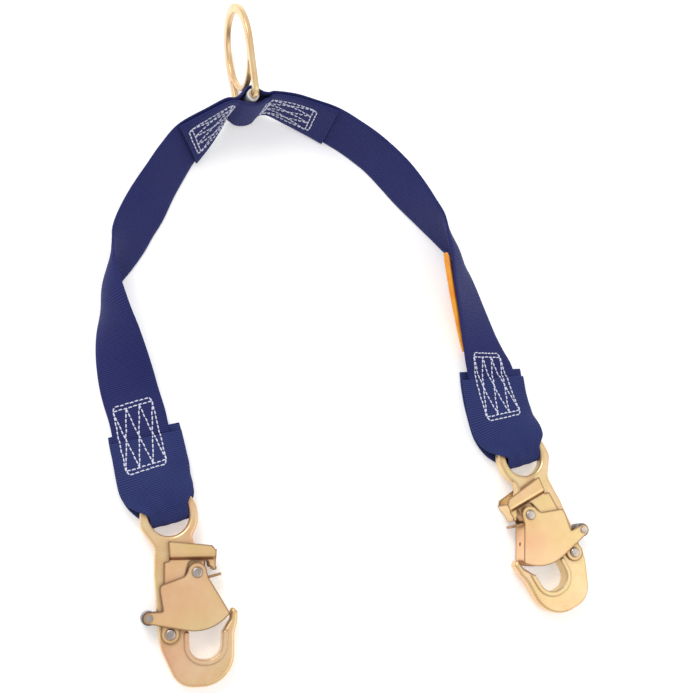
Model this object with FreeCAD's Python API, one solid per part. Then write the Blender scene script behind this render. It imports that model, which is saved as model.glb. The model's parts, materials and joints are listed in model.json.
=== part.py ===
import FreeCAD, Part
import math
import os

# Two-leg web lanyard: a forged ring in the middle, one webbing strap folded through it,
# and a flipped pair of self-locking snap hooks on the strap's two ends.
# Millimetres. The lanyard lies on the plane z = 0, legs spread, ring standing on its edge.
# Origin: centre of the bounding box at the base.

V = FreeCAD.Vector
UP = V(0, 0, 1)

# Webbing
WEB_W = 38.0
WEB_T = 2.5
WRAP_W = 49.0
LIFT = 0.4                       # gap between a web's lower edge and the plane it lies on

# Ring: a flat forging with a round eye, a thin divider, a slot and a round bar
RING_EYE_R = 26.0                # inside radius of the eye
RING_OUTER_R = 32.8
RING_T = 4.2
RING_EDGE_R = 1.2
RING_TIP_R = 0.8                 # in the two narrow ends of the slot
RING_DIVIDER = 3.3               # width of the metal between the eye and the slot
RING_LIMB = 5.0                  # width of the limbs beside the slot
RING_BAR_DROP = 38.4             # eye centre to bar axis
RING_BAR_R = 3.0
RING_FOOT_HALF = 28.0            # half of the foot, over the limbs
RING_SLOT_HALF = 23.4            # half of the slot where it meets the bar
RING_CORNER_R = 7.0
SLEEVE_WALL = 1.4
SLEEVE_HALF = 18.0
SLEEVE_END_GAP = 0.3
RUN_GAP = 0.05                   # radial running clearance
RING_BAR = V(-82.1, 171.0, 28.5)
RING_A = V(-0.2, 0.97, 0.135)    # from the bar towards the eye
RING_B = V(0.1, -0.115, 0.988)   # along the bar

# Snap hook, in its own frame: eye centre at the origin, +y towards the strap,
# +x towards the nose, z through the thickness
EYE_R = 13.7
EYE_OUTER_R = 19.7
BODY_HALF_T = 5.0
BEAD_HALF_T = 6.0
EDGE_R = 2.3
GATE_PIVOT = (18.8, -38.2)
LOCK_PIVOT = (1.4, -78.5)
ROLLER_AT = (-12.9, -67.7)
RIVET_R = 3.0
RIVET_HEAD_R = 3.6
RIVET_HEAD_H = 1.5
RIVET_DOME_R = 1.3
SHEET_T = 1.5
LEVER_IN = 5.2                   # inside face of the lever's plates, from the mid plane
PAD_IN = 8.1                     # and under the thumb pad, where the plates step out
GATE_IN = 6.9                    # inside face of the gate's plates
GATE_OUT = GATE_IN + SHEET_T
ROLLER_R = 5.0
ROLLER_HALF = 6.6
ROLLER_PIN_R = 1.8
STRAP_LEAN = 14.0                # the strap leaves the eye leaning to the spine side
BAR_RADIUS = (EYE_R + EYE_OUTER_R) / 2.0
SADDLE_HALF = 9.0
SADDLE_T = 2.2
SADDLE_MIDDLE_R = 5.4
SADDLE_EDGE_R = 7.5

HOOK_Z = GATE_OUT + RIVET_HEAD_H
LEFT_EYE = V(-127.7, -129.0, HOOK_Z)
LEFT_TURN = 1.2
RIGHT_EYE = V(132.6, -83.0, HOOK_Z)
RIGHT_TURN = 29.0

# The strap's centre line and lean, from the left wrap up to the ring and down to the right
# wrap: x, y, lean of the width from the ground (degrees), extra lift of the lower edge,
# and how far the width slants along the strap where the strap turns over
LEFT_LEG = [
    (-152.4, -56.9, 175, 1.0, 0),
    (-157.0, -43.5, 172, 0.4, 0),
    (-162.6, -25.0, 156, 0, 0),
    (-166.9, -8.0, 140, 0, 0),
    (-170.0, 7.5, 122, 0, 0.05),
    (-171.9, 20.5, 108, 0, 0.3),
    (-172.0, 31.5, 92, 0, 0.4),
    (-169.8, 42.0, 75, 0, 0.3),
    (-166.2, 53.0, 61, 0, 0.15),
    (-162.2, 64.5, 50, 0, 0),
    (-157.6, 76.5, 46, 0, 0),
    (-150.8, 90.5, 44, 0, 0),
    (-142.8, 107.0, 49, 0, 0),
    (-133.8, 124.0, 53, 0, 0),
    (-124.8, 138.1, 57, 0.6, 0),
    (-109.3, 152.8, 74, 3.5, 0),
    (-98.2, 164.5, 90, 6.5, 0),
]
RIGHT_LEG = [
    (-65.0, 174.0, 92, 6.5, 0),
    (-49.2, 172.3, 83, 3.5, 0),
    (-31.3, 167.9, 76, 1.2, 0),
    (-16.5, 162.9, 71, 0, 0),
    (0.1, 154.1, 70, 0, 0),
    (16.9, 142.8, 69, 0, 0),
    (31.7, 129.5, 67, 0, 0),
    (43.5, 116.3, 69, 0, 0),
    (55.3, 102.3, 77, 0, 0),
    (66.3, 89.1, 86, 0, -0.15),
    (74.0, 77.0, 100, 0, -0.3),
    (80.2, 68.5, 114, 0, -0.3),
    (85.0, 58.5, 126, 0, -0.15),
    (89.4, 44.4, 134, 0, 0),
    (94.8, 27.0, 142, 0, 0),
    (100.6, 8.0, 152, 0, 0),
    (105.4, -5.0, 162, 0.3, 0),
]

# The wraps: centre line, thickness and lift from the leg's end to the hook's eye
LEFT_WRAP = [(-149.4, -58.5, 8.0, 0.6), (-145.0, -75.5, 9.5, 1.2), (-140.0, -95.5, 13.0, 2.2)]
RIGHT_WRAP = [(111.6, -10.5, 8.0, 0.6), (113.8, -31.0, 9.5, 1.2), (118.4, -53.0, 13.0, 2.2)]
WRAP_LEAN = 177.0
POCKET_T = 15.0
POCKET_ENDS = ((9.0, 43.0), (5.7, 38.0))     # from the eye's bar: distance and width

# Folded blank label on the under side of the right leg, its edge past the web's upper edge
LABEL_W = 16.0
LABEL_T = 3.6
LABEL_SPAN = (11, 16)            # first and last listed point of the right leg that it follows
LABEL_SHOWS = (6.0, 2.5)         # how far it stands past the web's edge, at each end
LABEL_GAP = 1.0                  # between the label and the web

# Both webs where they pass the ring's bar: across the ring, towards the eye, lean of the width
BAR_SHIFT = V(0, 0, -2.5)        # the webs sit this far down the bar
OVER_R = 6.3
OVER_ANGLES = (-50, -25, 0, 25, 50)
OVER_LEFT = [(-13.0, -1.4, 0), (-8.6, 0.5, 0)]
OVER_RIGHT = [(8.6, 1.6, 0), (13.0, 0.8, 0)]
KEEPER_SIDE = [(13.2, -4.6, 0.05), (9.8, -6.1, 0.1), (6.4, -8.4, 0.14)]
KEEPER_TIP = (0.0, -9.3, 0.15)
KEEPER_GAP = 0.7                 # between the two webs where they lie together


def unit(v):
    """A copy of v with length 1."""
    return v * (1.0 / v.Length)


def save(shape, name):
    """Write one closed node."""
    if not shape.isValid():
        print("INVALID", name)
    for solid in shape.Solids:
        if not solid.isClosed():
            print("OPEN", name)
    shape.exportStep("parts/%s.step" % name)
    print("%-22s solids %d volume %.0f" % (name, len(shape.Solids), shape.Volume))


def rounded_wire(corners):
    """A closed flat wire through corners (x, y, radius), each corner rounded by its radius."""
    points = [V(x, y, 0) for x, y, r in corners]
    edges = []
    joints = []
    count = len(corners)
    for i in range(count):
        here = points[i]
        radius = corners[i][2]
        before = unit(points[i - 1] - here)
        after = unit(points[(i + 1) % count] - here)
        half = before.getAngle(after) / 2.0
        if radius < 1e-6 or half > math.radians(89.0):
            joints.append((here, None, here))
            continue
        run = radius / math.tan(half)
        middle = here + unit(before + after) * (radius / math.sin(half) - radius)
        joints.append((here + before * run, middle, here + after * run))
    for i in range(count):
        start, middle, end = joints[i]
        if middle is not None:
            edges.append(Part.Arc(start, middle, end).toShape())
        following = joints[(i + 1) % count][0]
        if end.distanceToPoint(following) > 1e-6:
            edges.append(Part.LineSegment(end, following).toShape())
    return Part.Wire(edges)


def plate(corners, low, high):
    """The rounded outline as a slab between two heights."""
    face = Part.Face(rounded_wire(corners))
    face.translate(V(0, 0, low))
    return face.extrude(V(0, 0, high - low))


def pillar(at, radius, low, high):
    """A round bar along z at a point of the hook."""
    return Part.makeCylinder(radius, high - low, V(at[0], at[1], low), UP)


def round_edges(shape, radius, chosen):
    """Fillet the edges that the test picks."""
    edges = [edge for edge in shape.Edges if chosen(edge)]
    return shape.makeFillet(radius, edges)


def both_sides(low, high, make):
    """The same flat piece on each side of the hook's mid plane."""
    return make(low, high).fuse(make(-high, -low))


# ---------------------------------------------------------------- snap hook

BOWL_INSIDE = [(35.6, -95.6, 10.0), (14.3, -95.6, 10.0)]


def hook_body():
    """Forged body: round eye, flat shank with the pivot lug, bowl and nose."""
    outline = [
        (-EYE_OUTER_R, EYE_OUTER_R, EYE_OUTER_R - 0.05),
        (EYE_OUTER_R, EYE_OUTER_R, EYE_OUTER_R - 0.05),
        (EYE_OUTER_R, -6.0, 12.0),
        (15.9, -13.5, 6.0),
        (17.0, -18.5, 6.0),
        (24.6, -27.0, 7.0),
        (24.6, -44.4, 6.0),
        (11.5, -47.0, 6.0),
        (7.0, -56.0, 7.0),
        (7.4, -69.0, 8.0),
        (13.8, -76.5, 6.0),
        BOWL_INSIDE[1],
        BOWL_INSIDE[0],
        (36.6, -77.5, 8.0),
        (41.6, -69.5, 4.0),
        (42.6, -60.6, 1.6),
        (47.2, -64.5, 2.4),
        (46.6, -72.5, 7.0),
        (44.8, -78.5, 12.0),
        (44.6, -113.4, 21.6),
        (7.2, -113.4, 16.0),
        (-5.2, -87.0, 30.0),
        (-7.4, -66.0, 40.0),
        (-9.6, -40.0, 30.0),
        (-9.4, -21.5, 9.0),
        (-EYE_OUTER_R, -8.0, 10.0),
    ]
    body = plate(outline, -BODY_HALF_T, BODY_HALF_T)
    body = body.cut(pillar((0, 0), EYE_R, -BODY_HALF_T, BODY_HALF_T))
    body = round_edges(body, EDGE_R, lambda e: flat_at(e, BODY_HALF_T))
    body = body.fuse(bowl_bead())
    for pivot in (GATE_PIVOT, LOCK_PIVOT):
        body = body.cut(pillar(pivot, RIVET_R + RUN_GAP, -BEAD_HALF_T, BEAD_HALF_T))
    return body.removeSplitter()


def flat_at(edge, height):
    """True for an edge that lies in the plane z = height or z = -height."""
    box = edge.BoundBox
    return box.ZLength < 1e-6 and abs(abs(box.ZMin) - height) < 1e-6


def bowl_bead():
    """Raised rim that runs round the inside of the bowl."""
    rim = [
        (10.4, -77.5, 1.2),
        (10.8, -99.4, 13.6),
        (39.2, -99.4, 13.6),
        (40.2, -75.5, 1.2),
        (36.6, -77.5, 0.5),
        BOWL_INSIDE[0],
        BOWL_INSIDE[1],
        (13.8, -77.0, 1.0),
    ]
    bead = plate(rim, -BEAD_HALF_T, BEAD_HALF_T)
    return round_edges(bead, 0.9, lambda e: flat_at(e, BEAD_HALF_T))


def gate():
    """U-shaped gate: two plates on the rivet, a front wall, a finger tab and two arms."""
    outline = [
        (14.5, -33.9, 1.0),
        (10.5, -40.8, 3.0),
        (-5.6, -46.4, 1.2),
        (-6.2, -49.6, 1.0),
        (-3.6, -63.6, 0.6),
        (-12.9, -63.9, 0),
        (-12.9, -71.5, 0),
        (10.0, -76.0, 3.0),
        (28.0, -79.0, 30.0),
        (41.2, -65.8, 1.6),
        (26.2, -41.5, 0.8),
        (24.9, -36.0, 0.5),
    ]

    def side(low, high):
        lobe = pillar(GATE_PIVOT, 6.5, low, high)
        arm_end = pillar(ROLLER_AT, 3.9, low, high)
        return plate(outline, low, high).fuse(lobe).fuse(arm_end)

    shape = both_sides(GATE_IN, GATE_OUT, side)
    wall = [(26.2, -41.5, 0), (40.3, -64.4, 0), (39.0, -65.2, 0), (24.9, -42.3, 0)]
    shape = shape.fuse(plate(wall, -GATE_OUT, GATE_OUT))
    shape = shape.fuse(finger_tab()).removeSplitter()
    shape = shape.cut(pillar(GATE_PIVOT, RIVET_R + RUN_GAP, -GATE_OUT, GATE_OUT))
    shape = shape.cut(pillar(ROLLER_AT, ROLLER_PIN_R + RUN_GAP, -GATE_OUT, GATE_OUT))
    drain = Part.makeCylinder(1.1, 12.0, V(29.0, -57.0, 0), V(24.3, 15.0, 0))
    return shape.cut(drain)


def finger_tab():
    """Lip at the top of the front wall, turned outwards for the finger."""
    width = 7.2
    lip = Part.makeBox(10.2, 1.6, 2.0 * width, V(0, 0, -width))
    corners = [e for e in lip.Edges if e.BoundBox.YLength > 1.0 and e.BoundBox.XMin > 5.0]
    lip = lip.makeFillet(3.5, [e for e in corners if e.BoundBox.ZLength < 1e-6])
    lip.rotate(V(0, 0, 0), UP, 14.0)
    lip.translate(V(25.9, -42.6, 0))
    return lip


def lock_lever():
    """U-shaped lock lever: thumb pad above the gate, long plates down to the lock rivet."""
    outline = [
        (-0.9, -17.3, 0.8),
        (28.8, -20.4, 2.0),
        (31.6, -24.0, 1.5),
        (31.3, -35.2, 0.6),
        (27.2, -34.6, 1.0),
        (26.4, -30.4, 1.0),
        (13.2, -30.4, 3.0),
        (10.4, -42.0, 6.0),
        (6.6, -62.0, 8.0),
        (7.6, -78.5, 0),
        (-4.6, -78.5, 0),
        (-3.4, -62.0, 8.0),
        (-3.3, -31.3, 0.5),
        (0.3, -30.6, 0.5),
    ]
    lobe = (LOCK_PIVOT, 6.3)
    prism = plate(outline, -20, 20).fuse(pillar(lobe[0], lobe[1], -20, 20))
    shape = prism.common(joggled_sheet(1)).fuse(prism.common(joggled_sheet(-1)))
    wall = plate([(30.0, -23.0, 0), (31.7, -23.0, 0), (31.3, -35.2, 0), (29.7, -35.2, 0)], -20, 20)
    shape = shape.fuse(wall.common(lever_envelope()))
    hem = pillar((30.5, -35.4), 1.5, -GATE_IN + 0.3, GATE_IN - 0.3)
    shape = shape.fuse(hem)
    return shape.cut(pillar(LOCK_PIVOT, RIVET_R + RUN_GAP, -20, 20)).removeSplitter()


# Inside face of a lever plate: place along the hook, distance from the mid plane
LEVER_STEP = [(-90, LEVER_IN), (-29.8, LEVER_IN), (-27.6, PAD_IN - 0.4), (-26.0, PAD_IN), (-10, PAD_IN)]


def joggled_sheet(side):
    """Sheet that lies close to the body low down and steps out under the thumb pad."""
    outer = [(y, z + SHEET_T) for y, z in reversed(LEVER_STEP)]
    ring = [V(-30, y, side * z) for y, z in LEVER_STEP + outer]
    face = Part.Face(Part.makePolygon(ring + [ring[0]]))
    return face.extrude(V(80, 0, 0))


def lever_envelope():
    """Everything between the two outer faces of the lever."""
    top = [V(-30, y, z + SHEET_T) for y, z in LEVER_STEP]
    base = [V(-30, y, -z - SHEET_T) for y, z in reversed(LEVER_STEP)]
    ring = top + base
    return Part.Face(Part.makePolygon(ring + [ring[0]])).extrude(V(80, 0, 0))


def rivet(at, grip):
    """Rivet with a domed head on each face; grip is half of what it holds."""
    shape = pillar(at, RIVET_R, -grip, grip)
    for low in (grip, -grip - RIVET_HEAD_H):
        head = pillar(at, RIVET_HEAD_R, low, low + RIVET_HEAD_H)
        rim = grip + RIVET_HEAD_H
        head = round_edges(head, RIVET_DOME_R, lambda e: flat_at(e, rim))
        shape = shape.fuse(head)
    return shape.removeSplitter()


def roller():
    """Knurled roller: a ring with straight grooves round its edge."""
    shape = pillar(ROLLER_AT, ROLLER_R, -ROLLER_HALF, ROLLER_HALF)
    shape = round_edges(shape, 0.6, lambda e: flat_at(e, ROLLER_HALF))
    grooves = []
    count = 18
    for i in range(count):
        angle = 2.0 * math.pi * i / count
        x = ROLLER_AT[0] + (ROLLER_R + 0.25) * math.cos(angle)
        y = ROLLER_AT[1] + (ROLLER_R + 0.25) * math.sin(angle)
        grooves.append(pillar((x, y), 0.55, -ROLLER_HALF, ROLLER_HALF))
    for groove in grooves:
        shape = shape.cut(groove)
    return shape.cut(pillar(ROLLER_AT, ROLLER_PIN_R + RUN_GAP, -ROLLER_HALF, ROLLER_HALF))


def roller_pin():
    """Pin that carries the roller, headed over both arms."""
    head = 0.9
    shape = pillar(ROLLER_AT, ROLLER_PIN_R, -GATE_OUT, GATE_OUT)
    for low in (GATE_OUT, -GATE_OUT - head):
        shape = shape.fuse(pillar(ROLLER_AT, 2.4, low, low + head))
    return shape.removeSplitter()


def coil(radius, wire, turns, pitch):
    """A helical wire standing on z = 0."""
    helix = Part.makeHelix(pitch, pitch * turns, radius)
    section = Part.Wire(Part.makeCircle(wire, V(radius, 0, 0), V(0, 1, 0)))
    return Part.Wire(helix.Edges).makePipeShell([section], True, True)


def gate_spring():
    """Flat torsion spring round the gate rivet, beside the lug."""
    ring = Part.makeTorus(4.2, 0.6, V(GATE_PIVOT[0], GATE_PIVOT[1], 5.95), UP)
    leg = Part.makeCylinder(0.55, 5.0, V(GATE_PIVOT[0], GATE_PIVOT[1] - 4.2, 5.95), V(-1.0, -0.2, 0))
    return ring.fuse(leg)


def lock_spring():
    """Small push spring between the lug and the lever's wall."""
    shape = coil(1.9, 0.3, 1.2, 0.8)
    shape.rotate(V(0, 0, 0), V(0, 1, 0), 90.0)
    shape.translate(V(24.95, -28.0, 0))
    return shape


HOOK_PARTS = {
    "body": hook_body,
    "gate": gate,
    "lock_lever": lock_lever,
    "gate_rivet": lambda: rivet(GATE_PIVOT, GATE_OUT),
    "lock_rivet": lambda: rivet(LOCK_PIVOT, LEVER_IN + SHEET_T),
    "roller": roller,
    "roller_pin": roller_pin,
    "gate_spring": gate_spring,
    "lock_spring": lock_spring,
}


def place_left(shape):
    """Left hook: lies as drawn, turned a little."""
    shape.rotate(V(0, 0, 0), UP, LEFT_TURN)
    shape.translate(LEFT_EYE)
    return shape


def place_right(shape):
    """Right hook: the same hook turned over, so that its nose points the other way."""
    shape.rotate(V(0, 0, 0), V(0, 1, 0), 180.0)
    shape.rotate(V(0, 0, 0), UP, RIGHT_TURN)
    shape.translate(RIGHT_EYE)
    return shape


# ---------------------------------------------------------------- ring

def ring_frame():
    """Placement that takes x to the ring's normal, y to the eye and z along the bar."""
    a = unit(RING_A)
    b = unit(RING_B - a * RING_B.dot(a))
    n = a.cross(b)
    matrix = FreeCAD.Matrix(n.x, a.x, b.x, RING_BAR.x, n.y, a.y, b.y, RING_BAR.y,
                            n.z, a.z, b.z, RING_BAR.z, 0, 0, 0, 1)
    return FreeCAD.Placement(matrix)


def ring_outline(radius, foot, low, corner):
    """Slab seen along the ring's normal: a disc round the eye's centre, narrowing to a foot."""
    drop = RING_BAR_DROP - low
    turn = math.asin(radius / math.hypot(foot, drop)) - math.atan2(foot, drop)
    x = radius * math.cos(turn)
    y = RING_BAR_DROP - radius * math.sin(turn)
    sides = [(-foot, low, corner), (foot, low, corner), (x, y, 0), (-x, y, 0)]
    return plate(sides, -RING_T / 2.0, RING_T / 2.0).fuse(ring_disc(radius))


def ring_disc(radius):
    """Disc of the ring's thickness round the eye's centre."""
    return pillar((0, RING_BAR_DROP), radius, -RING_T / 2.0, RING_T / 2.0)


def ring():
    """Forged ring in its own frame: bar along z at the origin, eye centre up the y axis."""
    shape = ring_outline(RING_OUTER_R, RING_FOOT_HALF, -RING_BAR_R, RING_CORNER_R)
    slot = ring_outline(RING_OUTER_R - RING_LIMB, RING_SLOT_HALF, RING_BAR_R, RING_CORNER_R / 2.0)
    slot = slot.cut(ring_disc(RING_EYE_R + RING_DIVIDER)).removeSplitter()
    slot = max(slot.Solids, key=lambda solid: solid.BoundBox.XLength)
    tips = [e for e in slot.Edges if e.BoundBox.ZLength > 1.0 and e.BoundBox.YMin > RING_CORNER_R]
    slot = slot.makeFillet(RING_TIP_R, tips)
    room = SLEEVE_HALF + SLEEVE_END_GAP
    window = plate([(-room, -9.0, 0), (room, -9.0, 0), (room, 5.0, 0), (-room, 5.0, 0)], -RING_T, RING_T)
    shape = shape.cut(slot).cut(window).cut(ring_disc(RING_EYE_R)).removeSplitter()
    shape = round_edges(shape, RING_EDGE_R, lambda e: flat_at(e, RING_T / 2.0))
    bar = Part.makeCylinder(RING_BAR_R, 2.0 * RING_SLOT_HALF, V(-RING_SLOT_HALF, 0, 0), V(1, 0, 0))
    shape = shape.fuse(bar).removeSplitter()
    shape.rotate(V(0, 0, 0), V(0, 1, 0), -90.0)
    return shape


def ring_sleeve():
    """Plastic sleeve that turns on the bar."""
    inside = RING_BAR_R + RUN_GAP
    base = V(0, 0, -SLEEVE_HALF)
    outer = Part.makeCylinder(inside + SLEEVE_WALL, 2.0 * SLEEVE_HALF, base, UP)
    outer = outer.makeFillet(0.5, [e for e in outer.Edges if e.BoundBox.ZLength < 1e-6])
    return outer.cut(Part.makeCylinder(inside, 2.0 * SLEEVE_HALF, base, UP))


# ---------------------------------------------------------------- webbing

def leg_stations(leg):
    """Centre and width direction at each listed point of a leg."""
    stations = []
    for i, (x, y, lean, lift, skew) in enumerate(leg):
        first = leg[max(i - 1, 0)]
        last = leg[min(i + 1, len(leg) - 1)]
        along = unit(V(last[0] - first[0], last[1] - first[1], 0))
        side = UP.cross(along)
        angle = math.radians(lean)
        width = unit(side * math.cos(angle) + UP * math.sin(angle) + along * skew)
        height = LIFT + lift + WEB_W / 2.0 * width.z + WEB_T / 2.0 * abs(math.cos(angle))
        stations.append((V(x, y, height), width))
    return stations


def strap(stations, thick, width):
    """A closed strap through stations (centre, width direction), all of flat triangles.

    Both wide faces of a span are split along the same diagonal, so a twist keeps its thickness.
    """
    rings = []
    for i, (centre, across) in enumerate(stations):
        before = stations[max(i - 1, 0)][0]
        after = stations[min(i + 1, len(stations) - 1)][0]
        normal = unit((after - before).cross(across))
        half = across * (width[i] / 2.0)
        deep = normal * (thick[i] / 2.0)
        rings.append([centre + half + deep, centre - half + deep, centre - half - deep, centre + half - deep])
    faces = []
    for near, far in zip(rings, rings[1:]):
        for k in range(4):
            j = (k + 1) % 4
            if k < 2:
                faces.append(triangle(near[k], near[j], far[j]))
                faces.append(triangle(near[k], far[j], far[k]))
            else:
                faces.append(triangle(near[k], near[j], far[k]))
                faces.append(triangle(near[j], far[j], far[k]))
    for cap in (rings[0], rings[-1]):
        faces.append(triangle(cap[0], cap[1], cap[2]))
        faces.append(triangle(cap[0], cap[2], cap[3]))
    solid = Part.Solid(Part.Shell(faces))
    if solid.Volume < 0:
        solid.reverse()
    return solid


def triangle(a, b, c):
    """One flat face."""
    return Part.Face(Part.makePolygon([a, b, c, a]))


def at_bar(path, frame):
    """Stations of a strap that passes the bar, from places in the ring's frame."""
    stations = []
    for s, t, lean in path:
        width = unit(V(0, lean, 1))
        stations.append((frame.multVec(V(s, t, 0) + BAR_SHIFT), frame.Rotation.multVec(width)))
    return stations


def main_web(frame):
    """The load-bearing strap: left leg, over the bar through the ring's slot, right leg."""
    turns = [math.radians(k) for k in OVER_ANGLES]
    over = [(OVER_R * math.sin(k), OVER_R * math.cos(k), 0) for k in turns]
    middle = at_bar(OVER_LEFT + over + OVER_RIGHT, frame)
    stations = leg_stations(LEFT_LEG) + middle + leg_stations(RIGHT_LEG)
    count = len(stations)
    return strap(stations, [WEB_T] * count, [WEB_W] * count)


def ring_keeper_web(frame):
    """Short strap sewn to the main strap on both sides of the bar, closing it in."""
    mirrored = [(-s, t, lean) for s, t, lean in KEEPER_SIDE]
    under = at_bar(mirrored + [KEEPER_TIP] + KEEPER_SIDE[::-1], frame)
    left = leg_stations(LEFT_LEG)[-3:]
    right = leg_stations(RIGHT_LEG)[:4]
    stations = offset(left, frame) + under + offset(right, frame)
    count = len(stations)
    return strap(stations, [WEB_T] * count, [WEB_W] * count)


def offset(stations, frame):
    """The same stations, moved one web's thickness to the side away from the ring's eye."""
    away = frame.Rotation.multVec(V(0, -1, 0))
    moved = []
    for i, (centre, across) in enumerate(stations):
        before = stations[max(i - 1, 0)][0]
        after = stations[min(i + 1, len(stations) - 1)][0]
        normal = unit((after - before).cross(across))
        if normal.dot(away) < 0:
            normal = normal * -1.0
        moved.append((centre + normal * (WEB_T + KEEPER_GAP), across))
    return moved


def saddle():
    """Web round the hook's eye, in the hook's frame: a flared tube, the room in it and its axes."""
    lean = math.radians(STRAP_LEAN)
    along = V(-math.sin(lean), math.cos(lean), 0)
    axis = V(math.cos(lean), math.sin(lean), 0)
    centre = along * BAR_RADIUS
    ends = (centre - axis * SADDLE_HALF, centre + axis * SADDLE_HALF)
    inner = [ends[0] + along * SADDLE_EDGE_R, centre + along * SADDLE_MIDDLE_R, ends[1] + along * SADDLE_EDGE_R]
    outer = [p + along * SADDLE_T for p in reversed(inner)]
    wall = [Part.Arc(*inner).toShape(), Part.LineSegment(inner[2], outer[0]).toShape(),
            Part.Arc(*outer).toShape(), Part.LineSegment(outer[2], inner[0]).toShape()]
    room = [Part.Arc(*inner).toShape(), Part.LineSegment(inner[2], ends[1]).toShape(),
            Part.LineSegment(ends[1], ends[0]).toShape(), Part.LineSegment(ends[0], inner[0]).toShape()]
    tube = Part.Face(Part.Wire(wall)).revolve(centre, axis, 360.0)
    core = Part.Face(Part.Wire(room)).revolve(centre, axis, 360.0)
    return tube, core, Part.makePolygon([centre, centre + along, centre + axis])


def hook_wrap(points, place):
    """Wide web sewn round a hook's eye: a flat pocket and the saddle round the eye."""
    tube, core, axes = [place(shape) for shape in saddle()]
    origin, ahead, aside = [vertex.Point for vertex in axes.Vertexes]
    ahead = ahead - origin
    aside = aside - origin
    lean = math.radians(WRAP_LEAN)
    rise = WRAP_W / 2.0 * math.sin(lean)
    stations = []
    for i, (x, y, depth, lift) in enumerate(points):
        first = points[max(i - 1, 0)]
        last = points[min(i + 1, len(points) - 1)]
        travel = unit(V(last[0] - first[0], last[1] - first[1], 0))
        across = UP.cross(travel) * math.cos(lean) + UP * math.sin(lean)
        stations.append((V(x, y, lift + LIFT + depth / 2.0 + rise), across))
    if aside.dot(across) < 0:
        aside = aside * -1.0
    for distance, width in POCKET_ENDS:
        stations.append((origin + ahead * distance, aside))
    thick = [depth for x, y, depth, lift in points] + [POCKET_T] * len(POCKET_ENDS)
    wide = [WRAP_W] * len(points) + [width for distance, width in POCKET_ENDS]
    return strap(stations, thick, wide).fuse(tube).cut(core).removeSplitter()


def id_label():
    """Blank folded label beside the right leg's upper edge."""
    leg = leg_stations(RIGHT_LEG)
    stations = []
    first, last = LABEL_SPAN
    for i in range(first, last):
        centre, across = leg[i]
        normal = unit((leg[i + 1][0] - leg[i - 1][0]).cross(across))
        if normal.z > 0:
            normal = normal * -1.0
        share = (i - first) / (last - 1.0 - first)
        shows = LABEL_SHOWS[0] + (LABEL_SHOWS[1] - LABEL_SHOWS[0]) * share
        inset = WEB_W / 2.0 + shows - LABEL_W / 2.0
        clear = (WEB_T + LABEL_T) / 2.0 + LABEL_GAP
        stations.append((centre + across * inset + normal * clear, across))
    count = len(stations)
    return strap(stations, [LABEL_T] * count, [LABEL_W] * count)


def build():
    """Write every node."""
    os.makedirs("parts", exist_ok=True)
    frame = ring_frame()
    for name, make in (("ring", ring), ("ring_sleeve", ring_sleeve)):
        shape = make()
        shape.Placement = frame.multiply(shape.Placement)
        save(shape, name)
    save(main_web(frame), "main_web")
    save(ring_keeper_web(frame), "ring_keeper_web")
    save(id_label(), "id_label")
    for side, place, points in (("left", place_left, LEFT_WRAP), ("right", place_right, RIGHT_WRAP)):
        save(hook_wrap(points, place), "hook_wrap_" + side)
        for part, make in HOOK_PARTS.items():
            save(place(make()), "hook_%s_%s" % (side, part))


build()
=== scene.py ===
import json
import math

import bmesh
import bpy
import numpy as np
from mathutils import Matrix, Vector
from mathutils.bvhtree import BVHTree


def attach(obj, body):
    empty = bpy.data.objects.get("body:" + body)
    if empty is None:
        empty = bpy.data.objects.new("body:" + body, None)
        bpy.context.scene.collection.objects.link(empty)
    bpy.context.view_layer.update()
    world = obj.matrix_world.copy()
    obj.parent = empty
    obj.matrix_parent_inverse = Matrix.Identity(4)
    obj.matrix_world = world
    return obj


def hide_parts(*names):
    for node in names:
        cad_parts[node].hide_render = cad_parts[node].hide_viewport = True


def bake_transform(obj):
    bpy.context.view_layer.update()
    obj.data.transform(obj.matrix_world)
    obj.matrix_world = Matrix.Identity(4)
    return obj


# Two-leg web lanyard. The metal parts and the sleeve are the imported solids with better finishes.
# The webbing, the wear wraps, the keeper, the label and every stitch are built here, in the
# frame's axes. Shapes are worked out in millimetres and become metres when a mesh is made.

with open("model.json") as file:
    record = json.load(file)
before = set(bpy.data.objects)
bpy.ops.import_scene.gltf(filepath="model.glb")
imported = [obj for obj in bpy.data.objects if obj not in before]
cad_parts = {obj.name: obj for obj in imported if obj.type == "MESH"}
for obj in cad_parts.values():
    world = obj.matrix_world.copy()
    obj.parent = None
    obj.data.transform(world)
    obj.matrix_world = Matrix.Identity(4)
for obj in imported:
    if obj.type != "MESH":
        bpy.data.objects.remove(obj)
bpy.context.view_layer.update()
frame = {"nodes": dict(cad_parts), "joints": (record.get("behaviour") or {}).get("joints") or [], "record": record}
MM = 0.001
UP = np.array([0.0, 0.0, 1.0])
JOINTS = {j["name"]: j for j in frame["joints"]}

# ------------------------------------------------------------------ sizes, in millimetres

WEB_W = 38.0
WEB_T = 2.3
WEB_COLUMNS = 21                  # points across the webbing's middle surface
KEEPER_STEP = 2.75                # main web to keeper, middle to middle
GROUND_GAP = 0.4
REST_T = 1.25                     # middle surface to the ground under a flat strap
BAR_SHIFT = -2.5                  # both webs sit this far along the ring's bar
RIB_PITCH = 1.45                  # weft ribs along the web
RIB_HEIGHT = 0.14
RIB_STEP = RIB_PITCH / 4          # between rows of points along the web
YARN_PITCH = 2.2                  # warp yarns across the web
YARN_HEIGHT = 0.025
SIDE_OUT = 0.32                   # how far a selvedge stands out, as a share of the thickness
WRAP_W = 50.0
WRAP_T = 2.0
WRAP_COLUMNS = 31
WRAP_FLOOR = 1.7                  # lowest middle surface of a wrap
BLEND_SPAN = (46.0, 17.0)         # from a hook's eye: still webbing, and already hook
HOOK_BAR = 16.7                   # eye centre to the middle of the eye's rim
THREAD_R = 0.47
THREAD_SIDES = 8
STITCH_PITCH = 3.5
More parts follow.
